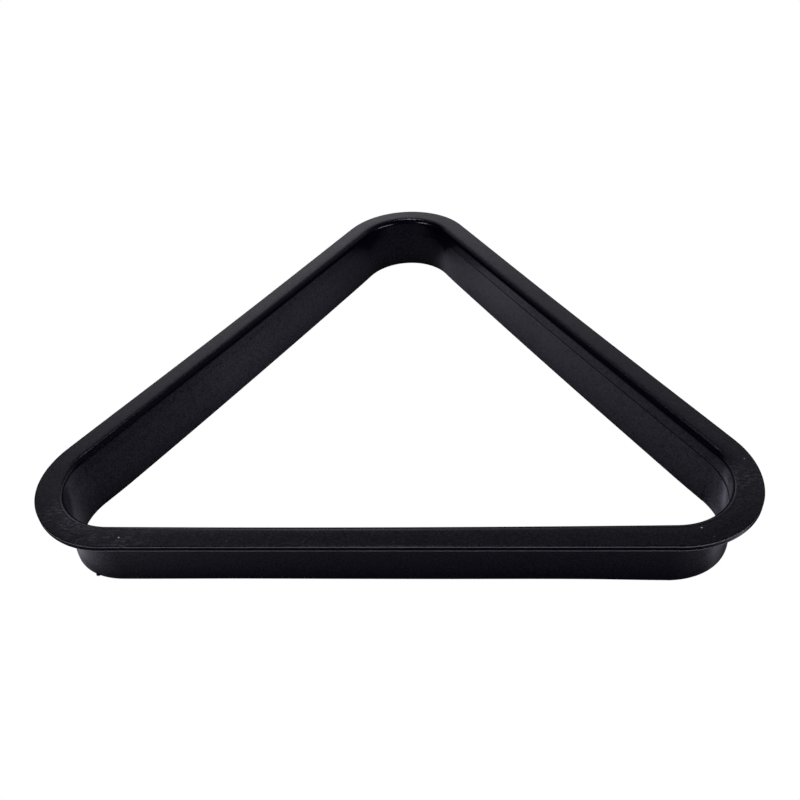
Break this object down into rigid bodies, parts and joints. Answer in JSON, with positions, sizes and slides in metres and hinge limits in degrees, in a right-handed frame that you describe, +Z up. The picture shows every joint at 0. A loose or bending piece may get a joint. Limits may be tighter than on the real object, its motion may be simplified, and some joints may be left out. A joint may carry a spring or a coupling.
{
  "type": "triangle rack",
  "caption": "Rounded equilateral triangle rack with an outward top rim that gathers billiard balls on a table.",
  "frame": {"origin": "on the table plane, at the middle of the rack's length and width", "axes": "+Z up from the table, +Y toward the apex where the head ball goes, -Y toward the rear side, +X along the rear side"},
  "size_m": [0.3134, 0.282, 0.032],
  "materials": {
    "rack_plastic": "near-black moulded plastic, satin to gloss, faint handling scuffs on the rim"
  },
  "bodies": {
    "root": {"rack_moulding": "rack_plastic"}
  },
  "joints": []
}
